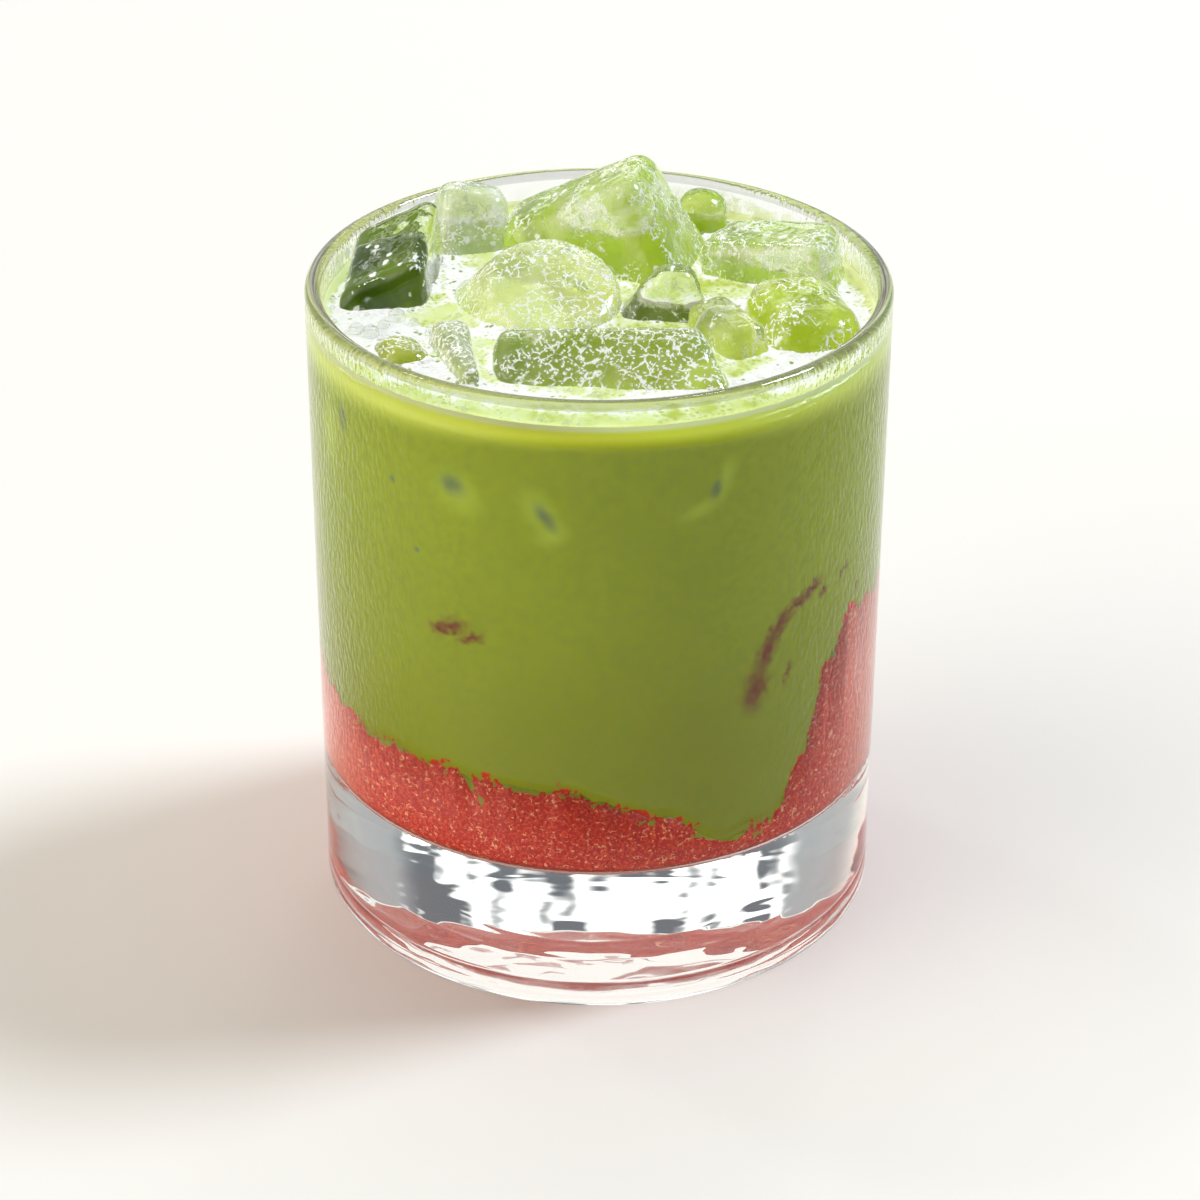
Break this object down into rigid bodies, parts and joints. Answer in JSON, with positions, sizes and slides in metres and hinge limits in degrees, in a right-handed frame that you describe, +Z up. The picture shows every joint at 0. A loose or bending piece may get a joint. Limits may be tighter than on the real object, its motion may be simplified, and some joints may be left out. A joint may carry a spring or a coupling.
{
  "type": "iced matcha latte in a glass",
  "caption": "Iced matcha latte over a layer of red fruit puree, topped with pieces of ice, in a straight clear tumbler with a thick base.",
  "frame": {"origin": "centre of the underside of the glass, on the surface that it stands on", "axes": "+Z up, -Y towards the front as the picture shows it, +X to the right seen from the front"},
  "size_m": [0.08, 0.08, 0.1014],
  "materials": {
    "clear_glass": "polished clear",
    "red_fruit": "fine grainy puree",
    "matcha_milk": "smooth wet opaque",
    "ice": "wet, part clear and part cloudy"
  },
  "bodies": {
    "root": {"glass": "clear_glass", "red_puree": "red_fruit", "green_latte": "matcha_milk", "ice_left_block": "ice", "ice_left_back": "ice", "ice_round": "ice", "ice_tall": "ice", "ice_back_lump": "ice", "ice_right_slab": "ice", "ice_right_lump": "ice", "ice_prism": "ice", "ice_clear_block": "ice", "ice_front_slab": "ice", "ice_shard": "ice", "ice_low_lump": "ice"}
  },
  "joints": []
}
